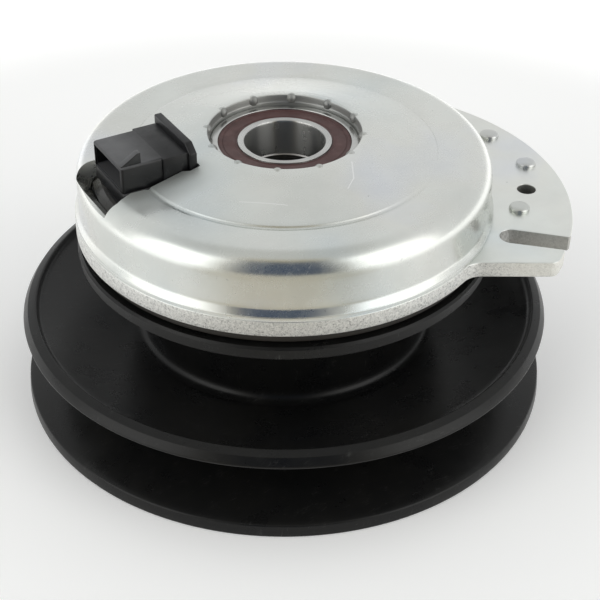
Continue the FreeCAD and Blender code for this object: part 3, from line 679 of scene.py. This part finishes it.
def field_shell():
    """Outline from the foot up the wall, over the shoulder and step to the seat, and back inside."""
    shell = lathe("field_shell_skin", [
        (SHELL_INSIDE_R, PLATE_HIGH, 0.2),
        (PLATE_R - 0.08, PLATE_HIGH, 0.08),
        (PLATE_R - 0.08, PLATE_HIGH + 1.2, 0.2),
        (PLATE_R - 0.32, PLATE_HIGH + 1.4, 0.2),
        (SHELL_R, PLATE_HIGH + 3.5, 2.6),
        (SHELL_R, SHOULDER_TOP, 10.0),
        (STEP_R + 1.5, SHOULDER_TOP - 0.55, 1.4),
        (STEP_R, SHOULDER_TOP - 0.95, 0.7),
        (STEP_R - 0.7, SHOULDER_TOP - 0.25, 0.7),
        (35.0, 87.2, 6.0),
        (27.4, SHELL_HIGH - 0.45, 2.0),
        (25.1, SHELL_HIGH, 0.6),
        (24.05, SHELL_HIGH - 0.1, 0.4),
        (BEARING_R + 0.2, SHELL_HIGH - 2.2, 0.3),
        (BEARING_R, SHELL_HIGH - 2.6, 0.2),
        (BEARING_R, COLLAR_LOW, 0.2),
        (COLLAR_R, COLLAR_LOW, 0.2),
        (STEP_R, SHOULDER_TOP - 5.0, 1.0),
        (SHELL_INSIDE_R, SHOULDER_TOP - 4.3, 5.7),
    ], 360)
    boolean(shell, window_cutter(), "DIFFERENCE")
    smooth(shell, 32.0)
    return shell


def window_cutter():
    """Opening for the connector; the sill slopes in, and the sides close in on the housing."""
    lip_x, lip_z, slope, inner = -63.4, 80.2, 8.0, -31.8
    outline = [(lip_x - 6, lip_z), (lip_x, lip_z), (lip_x + slope, lip_z - slope),
               (inner, lip_z - slope), (inner, 96.0), (lip_x - 6, 96.0)]
    mouth, throat, rear = 14.4, 11.3, 12.9
    window = prism("window", outline, CONNECTOR_Y - mouth, CONNECTOR_Y + mouth, "Y")
    plan = [(lip_x - 7, mouth), (lip_x + 3.6, mouth), (lip_x + 9.2, throat), (-37.0, throat),
            (-35.2, rear), (inner + 1, rear)]
    sides = [(x, CONNECTOR_Y - half) for x, half in plan]
    sides += [(x, CONNECTOR_Y + half) for x, half in reversed(plan)]
    boolean(window, prism("window_sides", sides, 60.0, 99.0), "INTERSECT")
    return window


# ---------------------------------------------------------------- torque plate with its tab

TAB_TURN = math.radians(-30.0)
TAB_ARC = Vector((13.8, 1.6))
TAB_ARC_R = 78.27
TAB_EDGE = 36.3
TAB_HOLE = Vector((78.9, 7.1))
TAB_HOLE_R = 3.0
SLOT_END = Vector((70.4, -21.4))
SLOT_SLOPE = math.radians(-13.6)
SLOT_HALF = 3.8


def arc_points(centre, radius, start, end, step=1.2):
    """Points of an arc between two angles in radians, counter-clockwise if end is larger."""
    count = max(3, int(abs(end - start) * radius / step))
    return [centre + radius * Vector((math.cos(a), math.sin(a)))
            for a in (start + (end - start) * k / count for k in range(count + 1))]


def angle_of(vector):
    return math.atan2(vector.y, vector.x)


def tab_side(normal_angle, way):
    """Centres that round one straight tab edge into the ring and into the outer arc.

    The edge lies TAB_EDGE from the axis; way is +1 or -1, the side of the normal it runs to.
    """
    root, tip = 7.0, 3.2
    normal = Vector((math.cos(normal_angle), math.sin(normal_angle)))
    along = Vector((-normal.y, normal.x)) * way
    reach = math.sqrt((PLATE_R + root) ** 2 - (TAB_EDGE + root) ** 2)
    root_centre = normal * (TAB_EDGE + root) + along * reach
    inner = normal * (TAB_EDGE - tip)
    offset = inner - TAB_ARC
    b = offset.dot(along)
    c = offset.length_squared - (TAB_ARC_R - tip) ** 2
    tip_centre = inner + along * (-b + math.sqrt(b * b - c))
    return normal, root_centre, root, tip_centre, tip


def tab_outline():
    """Ring and tab as one outline, counter-clockwise, in the tab's own direction."""
    front = tab_side(math.radians(-90.0), 1)
    rear = tab_side(math.radians(126.0), -1)
    normal, root_centre, root, tip_centre, tip = front
    points = arc_points(root_centre, root, angle_of(root_centre) + math.pi, angle_of(-normal))
    turn_end = angle_of(tip_centre - TAB_ARC)
    points += arc_points(tip_centre, tip, angle_of(normal), turn_end)
    slot_way = Vector((math.cos(SLOT_SLOPE), math.sin(SLOT_SLOPE)))
    slot_side = Vector((-slot_way.y, slot_way.x))
    mouths = []
    for side in (-1, 1):
        start = SLOT_END + slot_side * SLOT_HALF * side - TAB_ARC
        b = start.dot(slot_way)
        mouths.append(start + slot_way * (-b + math.sqrt(b * b - start.length_squared + TAB_ARC_R ** 2)))
    lip = 0.012
    points += arc_points(TAB_ARC, TAB_ARC_R, turn_end, angle_of(mouths[0]) - lip)
    points += [TAB_ARC + mouths[0] - slot_way * 0.5 + slot_side * 0.1]
    slot_angle = angle_of(slot_side)
    points += arc_points(SLOT_END, SLOT_HALF, slot_angle - math.pi, slot_angle - 2 * math.pi, 0.8)
    points += [TAB_ARC + mouths[1] - slot_way * 0.5 - slot_side * 0.1]
    normal, root_centre, root, tip_centre, tip = rear
    turn_start = angle_of(tip_centre - TAB_ARC)
    points += arc_points(TAB_ARC, TAB_ARC_R, angle_of(mouths[1]) + lip, turn_start)
    points += arc_points(tip_centre, tip, turn_start, angle_of(normal))
    root_end = angle_of(root_centre)
    points += arc_points(root_centre, root, angle_of(-normal), root_end - math.pi)
    points += arc_points(Vector((0, 0)), PLATE_R, root_end, angle_of(front[1]) + TURN)[1:-1]
    return points


def circle(centre, radius, count=96):
    return [centre + radius * Vector((math.cos(TURN * k / count), math.sin(TURN * k / count)))
            for k in range(count)]


def edge_material(x, y):
    """Which of the plate's edge materials a point of its sheared edge takes: 1 outside, 2 slot, 3 hole;
    slot and hole are darker copies, as painted shade.
    """
    point = Vector((x, y))
    if (point - TAB_HOLE).length < TAB_HOLE_R + 0.6:
        return 3
    off_slot = abs(y - SLOT_END.y - (x - SLOT_END.x) * math.tan(SLOT_SLOPE))
    return 2 if x > SLOT_END.x - 4.4 and off_slot < SLOT_HALF + 0.8 else 1


def torque_plate():
    """Ring and tab in one plate, zinc on its faces and torn on its edges."""
    loops = [tab_outline(), circle(Vector((0, 0)), SHELL_INSIDE_R, 240),
             circle(TAB_HOLE, TAB_HOLE_R, 64)]
    spin = Matrix.Rotation(TAB_TURN, 2)
    turned = [[spin @ point for point in loop] for loop in loops]
    plate = plate_from_loops("torque_plate_skin", turned, PLATE_LOW, PLATE_HIGH, 0.35)
    # the slot and hole edges take darker copies of the sheared edge, as painted shade inside them
    for material in (zinc("plate_zinc", tone=1.14, roughness=(0.28, 0.40)), sheared_zinc(),
                     sheared_zinc("slot_shaded_zinc", 0.66), sheared_zinc("hole_shaded_zinc", 0.45)):
        plate.data.materials.append(material)
    back = spin.inverted()
    for face in plate.data.polygons:
        if abs(face.normal.z) < 0.45:
            face.material_index = edge_material(*(back @ Vector((face.center.x, face.center.y)) / MM))
    return plate


def tab_rivets():
    """Button heads on the tab and the formed tails under the brake shoe."""
    head, shank, tail, tail_end, tail_tall = 3.3, 1.94, 3.0, 2.5, 1.2
    tail_z = in_mm(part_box("tab_rivets")[0])[2]
    bm = bmesh.new()
    spin = Matrix.Rotation(TAB_TURN, 2)
    for place in ((70.9, 42.8), (80.9, 23.1), (74.8, -5.5)):
        x, y = spin @ Vector(place)
        dome(bm, x, y, PLATE_HIGH, head, 1.75)
        where = Matrix.Translation((x * MM, y * MM, height((tail_z + PLATE_LOW) / 2)))
        bmesh.ops.create_cone(bm, cap_ends=True, segments=32, radius1=shank * MM, radius2=shank * MM,
                              depth=(PLATE_LOW - tail_z) * MM, matrix=where)
        where = Matrix.Translation((x * MM, y * MM, height(tail_z + tail_tall / 2)))
        bmesh.ops.create_cone(bm, cap_ends=True, segments=32, radius1=tail_end * MM, radius2=tail * MM,
                              depth=tail_tall * MM, matrix=where)
    return finish_mesh(bm, "tab_rivets_skin", 50.0)


# ---------------------------------------------------------------- field bearing


def bearing_outer_skin():
    high, low, outer = BEARING_HIGH, BEARING_LOW, BEARING_R
    recess = outer - 2.6
    return lathe("field_bearing_outer_skin", [
        (recess - 0.9, low + 1.2, 0.1), (recess, low + 1.2, 0.1), (recess, low, 0.2), (outer, low, 0.6),
        (outer, high, 0.6), (recess, high, 0.25), (recess, high - 1.2, 0.1),
        (recess - 0.9, high - 1.2, 0.1),
    ], 240, 0.8)


def bearing_inner_skin():
    high, low = BEARING_HIGH, BEARING_LOW
    land = SHAFT_R + 2.1
    return lathe("field_bearing_inner_skin", [
        (SHAFT_R, low, 0.55), (land, low, 0.15), (land, low + 1.2, 0.1), (land + 1.2, low + 1.2, 0.1),
        (land + 1.2, high - 1.2, 0.1), (land, high - 1.2, 0.1), (land, high, 0.15), (SHAFT_R, high, 0.55),
    ], 240, 0.8)


def bearing_seal_skin():
    """Moulded seal: outer bead, sunk band and a raised lip beside the inner ring."""
    top = BEARING_HIGH - 0.32
    inner, outer = SHAFT_R + 2.22, BEARING_R - 2.62
    return lathe("field_bearing_seal_skin", [
        (inner, top - 0.75, 0.05), (outer, top - 0.75, 0.05), (outer, top, 0.15),
        (outer - 0.7, top, 0.2), (outer - 0.95, top - 0.18, 0.1), (outer - 1.35, top - 0.18, 0.1),
        (outer - 1.6, top - 0.02, 0.15), (inner + 1.3, top - 0.02, 0.2), (inner + 1.05, top - 0.2, 0.1),
        (inner + 0.6, top - 0.2, 0.1), (inner + 0.4, top - 0.05, 0.1), (inner, top - 0.1, 0.05),
    ], 240, 0.6)


# ---------------------------------------------------------------- pulley and armature

SHEET = 3.3
WEB_R = 48.0
RIM_HEIGHT = 4.2
CREST_R = 82.4
GROOVE_MID = PULLEY_RIM_HIGH
DRUM_R = 46.4
PULLEY_BORE_R = 36.0
RIVETS = 6
RIVET_CIRCLE_R = 39.5
RIVET_HOLE_R = 2.25
DRUM_TOP = in_mm(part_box("pulley_upper_half")[1])[2]


def flange_corners(side, inner_part):
    """Corners of a stamping: along the underside, round the rim, back over the cone."""
    low = GROOVE_MID
    rim_low = 2 * GROOVE_MID - RIM_HEIGHT
    slope = (rim_low - low) / (PULLEY_R - WEB_R)
    rise = SHEET * math.hypot(1, slope)
    return [
        (WEB_R, low, 5.0),
    ] + side + [
        (CREST_R, rim_low + RIM_HEIGHT, 0.5),
        (CREST_R - 0.9, low + rise + slope * (CREST_R - 0.9 - WEB_R), 2.6),
    ] + inner_part


def pulley_upper_skin():
    low = GROOVE_MID
    rim_low = 2 * GROOVE_MID - RIM_HEIGHT
    return lathe("pulley_upper_skin", [
        (DRUM_R - SHEET, low, 2.0)] + flange_corners([
            (PULLEY_R - 0.1, rim_low, 0.7),
            (85.2, 29.75, 0.5)], [
            (DRUM_R, low + SHEET - 0.25, 3.0),
            (DRUM_R, DRUM_TOP, 3.2),
            (PULLEY_BORE_R, DRUM_TOP, 0.2),
            (PULLEY_BORE_R, DRUM_TOP - SHEET, 0.2),
            (DRUM_R - SHEET, DRUM_TOP - SHEET, 1.0),
        ]), 320)


def pulley_lower_skin():
    low = GROOVE_MID
    side = [(PULLEY_R - 0.4, 2 * low - RIM_HEIGHT, 0.7), (PULLEY_R, 2 * low, 0.6)]
    back = [(WEB_R, low + SHEET, 6.0), (PULLEY_BORE_R, low + SHEET, 0.2)]
    corners = [(PULLEY_BORE_R, low, 0.2)] + flange_corners(side, back)
    mirrored = [(r, 2 * low - z, fillet) for r, z, fillet in reversed(corners)]
    skin = lathe("pulley_lower_skin", mirrored, 320)      # the stamping is the upper one upside down
    holes = bmesh.new()
    for index in range(RIVETS):
        angle = TURN / RIVETS * index
        x, y = RIVET_CIRCLE_R * math.cos(angle), RIVET_CIRCLE_R * math.sin(angle)
        where = Matrix.Translation((x * MM, y * MM, height(low - 2)))
        bmesh.ops.create_cone(holes, cap_ends=True, segments=32, radius1=RIVET_HOLE_R * MM,
                              radius2=RIVET_HOLE_R * MM, depth=8 * MM, matrix=where)
    boolean(skin, finish_mesh(holes, "rivet_holes"), "DIFFERENCE")
    smooth(skin)
    return skin


# ---------------------------------------------------------------- connector


CONNECTOR_HALF = 10.3
SHROUD_LOW = 83.2
SHROUD_HEIGHT = 9.0
WALL = 1.4


def connector_skin():
    """Shroud open to the front, wider rear, flange, latch ramp, foot, and a key inside the mouth."""
    low, high = (in_mm(corner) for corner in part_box("connector_body"))
    front, back = low[0], high[0]
    y0, y1 = CONNECTOR_Y - CONNECTOR_HALF, CONNECTOR_Y + CONNECTOR_HALF
    z0, z1 = SHROUD_LOW, SHROUD_LOW + SHROUD_HEIGHT
    shroud_back, flange_front = -43.0, -34.8
    body = block("connector_skin", front, shroud_back + 1, y0, y1, z0, z1)
    bevel(body, 0.8, 4)
    rear = block("rear", shroud_back, flange_front + 1, y0 - 0.7, y1 + 0.7, z0 - 0.4, z1 + 0.02)
    bevel(rear, 0.35, 2)
    boolean(body, rear, "UNION")
    flange = [(flange_front, y0 - 1.9, z0 - 1), (flange_front, y1 + 1.9, z0 - 1),
              (flange_front, y1 + 1.9, high[2] - 1.0), (flange_front, y0 + 1.3, high[2] - 1.0),
              (flange_front, y0 - 1.9, high[2] - 3.6)]
    boolean(body, flange_plate(flange, back), "UNION")
    ramp = prism("ramp", [(-55.9, z1 - 0.5), (-49.4, z1 - 0.5), (-49.4, high[2] - 0.02),
                          (-50.4, high[2] - 0.02), (-55.9, z1 + 0.12)], y0 + 0.8, y0 + 3.0, "Y")
    bevel(ramp, 0.2, 2)
    boolean(body, ramp, "UNION")
    foot = block("foot", front + 0.3, back, y0 - 0.4, y1 + 0.4, low[2], z0 + 0.3)
    bevel(foot, 0.3, 2)
    boolean(body, foot, "UNION")
    cavity = block("cavity", front - 2, -45.0, y0 + WALL, y1 - WALL, z0 + WALL, z1 - WALL)
    bevel(cavity, 0.6, 3)
    boolean(body, cavity, "DIFFERENCE")
    mouth = block("mouth", front - 1, front + 0.5, y0 + 1.0, y1 - 1.0, z0 + 1.0, z1 - 1.0)
    boolean(body, mouth, "DIFFERENCE")
    key = block("key", front + 1.2, -45.5, CONNECTOR_Y - 0.6, CONNECTOR_Y + 0.6, z1 - 2.0, z1 - 1.2)
    boolean(body, key, "UNION")
    smooth(body, 32.0)
    return body


def flange_plate(outline, back):
    """Plate between an upright outline and the same outline pushed back to another X."""
    bm = bmesh.new()
    near = [bm.verts.new((x * MM, y * MM, height(z))) for x, y, z in outline]
    far = [bm.verts.new((back * MM, y * MM, height(z))) for _, y, z in outline]
    bm.faces.new(near)
    bm.faces.new(list(reversed(far)))
    for index in range(len(outline)):
        after = (index + 1) % len(outline)
        bm.faces.new((near[index], far[index], far[after], near[after]))
    plate = finish_mesh(bm, "connector_flange")
    bevel(plate, 0.4, 3)
    return plate


stand_for(field_shell(), "field_shell", "field")
stand_for(torque_plate(), "torque_plate", "field")
beads = stakes()
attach(beads, "field")
stand_for(tab_rivets(), "tab_rivets", "field", zinc("rivet_zinc", tone=0.88, roughness=(0.27, 0.38)))
stand_for(bearing_outer_skin(), "field_bearing_outer_ring", "field")
stand_for(bearing_inner_skin(), "field_bearing_inner_ring", "rotor",
          turned_steel("ground_bore", (0.62, 0.62, 0.605), 0.25, 0.31, brushed=1.0))
stand_for(bearing_seal_skin(), "field_bearing_seal_top", "field")
stand_for(pulley_upper_skin(), "pulley_upper_half", "pulley")
stand_for(pulley_lower_skin(), "pulley_lower_half", "pulley")
stand_for(connector_skin(), "connector_body", "field")

# ---------------------------------------------------------------- floor, light and camera

FRONT = Vector((math.sin(math.radians(PHOTO_SIDE)), -math.cos(math.radians(PHOTO_SIDE)), 0.0))


def floor():
    """Pale light table that glows further out, dimmer and warmer on the camera's side."""
    bm = bmesh.new()
    bmesh.ops.create_grid(bm, x_segments=1, y_segments=1, size=6.0)
    obj = finish_mesh(bm, "floor")
    obj.location.z = FLOOR_Z - 0.00002
    s = Shader("floor_paper")
    dot = s.nodes.new("ShaderNodeVectorMath")
    dot.operation = "DOT_PRODUCT"
    dot.inputs[1].default_value = FRONT
    s.links.new(s.where, dot.inputs[0])
    radius = s.polar()[0]
    ahead = s.math("DIVIDE", dot.outputs["Value"], s.math("MAXIMUM", radius, 0.01))
    near = s.math("MULTIPLY", s.remap(dot.outputs["Value"], 0.108, 0.175, 0.0, 1.0, True),
                  s.remap(ahead, 0.64, 0.90, 0.0, 1.0, True))
    far = s.math("MULTIPLY", s.remap(radius, 0.24, 0.38, 0.0, 1.0, True), s.math("SUBTRACT", 1.0, near))
    s.link(s.mix(near, (0.93, 0.93, 0.93), (0.68, 0.635, 0.54)), "Base Color")
    s.link(s.mix(near, (1.0, 1.0, 1.0), (0.05, 0.045, 0.035)), "Emission Color")
    s.link(s.math("ADD", 0.17, s.math("MULTIPLY", far, 0.50)), "Emission Strength")
    s.set(Roughness=0.9, Specular_IOR_Level=0.1)
    obj.data.materials.append(s.material)


class Sky:
    """World shader made of soft-edged patches of brightness."""

    def __init__(self):
        world = bpy.data.worlds.new("studio")
        bpy.context.scene.world = world
        world.use_nodes = True
        self.nodes, self.links = world.node_tree.nodes, world.node_tree.links
        self.background = self.nodes["Background"]
        split = self.nodes.new("ShaderNodeSeparateXYZ")
        self.links.new(self.nodes.new("ShaderNodeTexCoord").outputs["Generated"], split.inputs[0])
        x, y, self.up = split.outputs
        flat = self.calc("SQRT", self.calc("ADD", self.calc("MULTIPLY", x, x),
                                           self.calc("MULTIPLY", y, y)))
        self.flat = self.calc("MAXIMUM", flat, 0.001)
        self.x, self.y = x, y

    def calc(self, operation, first, second=None):
        node = self.nodes.new("ShaderNodeMath")
        node.operation = operation
        for socket, value in zip(node.inputs, (first, second)):
            if isinstance(value, (int, float)):
                socket.default_value = value
            elif value is not None:
                self.links.new(value, socket)
        return node.outputs[0]

    def fade(self, value, low, high):
        node = self.nodes.new("ShaderNodeMapRange")
        node.interpolation_type = "SMOOTHSTEP"
        node.inputs["From Min"].default_value = low
        node.inputs["From Max"].default_value = high
        self.links.new(value, node.inputs["Value"])
        return node.outputs["Result"]

    def patch(self, azimuth, half_width, soft, low, high, soft_up):
        """1 inside an azimuth and elevation window, 0 outside; all in degrees."""
        a = math.radians(azimuth)
        ahead = self.calc("ADD", self.calc("MULTIPLY", self.x, math.sin(a)),
                          self.calc("MULTIPLY", self.y, -math.cos(a)))
        ahead = self.calc("DIVIDE", ahead, self.flat)
        inside = self.fade(ahead, math.cos(math.radians(half_width + soft)),
                           math.cos(math.radians(half_width - soft)))
        above = self.fade(self.up, math.sin(math.radians(low - soft_up)),
                          math.sin(math.radians(low + soft_up)))
        under = self.fade(self.up, math.sin(math.radians(high - soft_up)),
                          math.sin(math.radians(high + soft_up)))
        return self.calc("MULTIPLY", self.calc("MULTIPLY", inside, above),
                         self.calc("SUBTRACT", 1.0, under))

    def mix(self, factor, first, second):
        node = self.nodes.new("ShaderNodeMix")
        node.data_type = "RGBA"
        self.links.new(factor, node.inputs[0])
        for socket, value in ((node.inputs[6], first), (node.inputs[7], second)):
            if isinstance(value, tuple):
                socket.default_value = (*value, 1.0)
            else:
                self.links.new(value, socket)
        return node.outputs[2]


def surroundings():
    """White studio with a softbox to each side and the dim side that the camera stands in."""
    sky = Sky()
    zenith = sky.fade(sky.up, 0.80, 0.98)
    light = sky.mix(zenith, (0.80, 0.81, 0.81), (0.62, 0.625, 0.61))
    for side in (-1, 1):
        box = sky.patch(PHOTO_SIDE + side * 60.0, 21.0, 8.0, -3.0, 50.0, 6.0)
        light = sky.mix(box, light, (1.9, 1.9, 1.86))
    warm = sky.patch(PHOTO_SIDE, 33.0, 7.0, -20.0, 69.0, 5.0)
    light = sky.mix(warm, light, (0.50, 0.44, 0.30))
    dim = sky.patch(PHOTO_SIDE, 26.0, 7.0, -20.0, 59.0, 7.0)
    light = sky.mix(dim, light, (0.045, 0.07, 0.12))
    sky.links.new(light, sky.background.inputs["Color"])


def camera():
    """Viewpoint of the reference view: a little to the engine side, looking down."""
    data = bpy.data.cameras.new("camera")
    data.sensor_width = 36.0
    data.lens = 82.14
    obj = bpy.data.objects.new("camera", data)
    bpy.context.collection.objects.link(obj)
    away, above, sideways = 0.37773, 0.21886, 0.00036
    pitch, yaw, roll = 35.388, 0.742, 0.5675
    turn = Matrix.Rotation(math.radians(PHOTO_SIDE), 4, "Z")
    place = turn @ Vector((sideways, -away, above))
    facing = (turn @ Matrix.Rotation(math.radians(-yaw), 4, "Z")
              @ Matrix.Rotation(math.radians(90.0 - pitch), 4, "X")
              @ Matrix.Rotation(math.radians(roll), 4, "Z"))
    obj.matrix_world = Matrix.Translation(place) @ facing
    data.clip_start, data.clip_end = 0.01, 20.0
    bpy.context.scene.camera = obj


floor()
surroundings()
camera()
scene = bpy.context.scene
scene.view_settings.view_transform = "Standard"
scene.view_settings.look = "None"
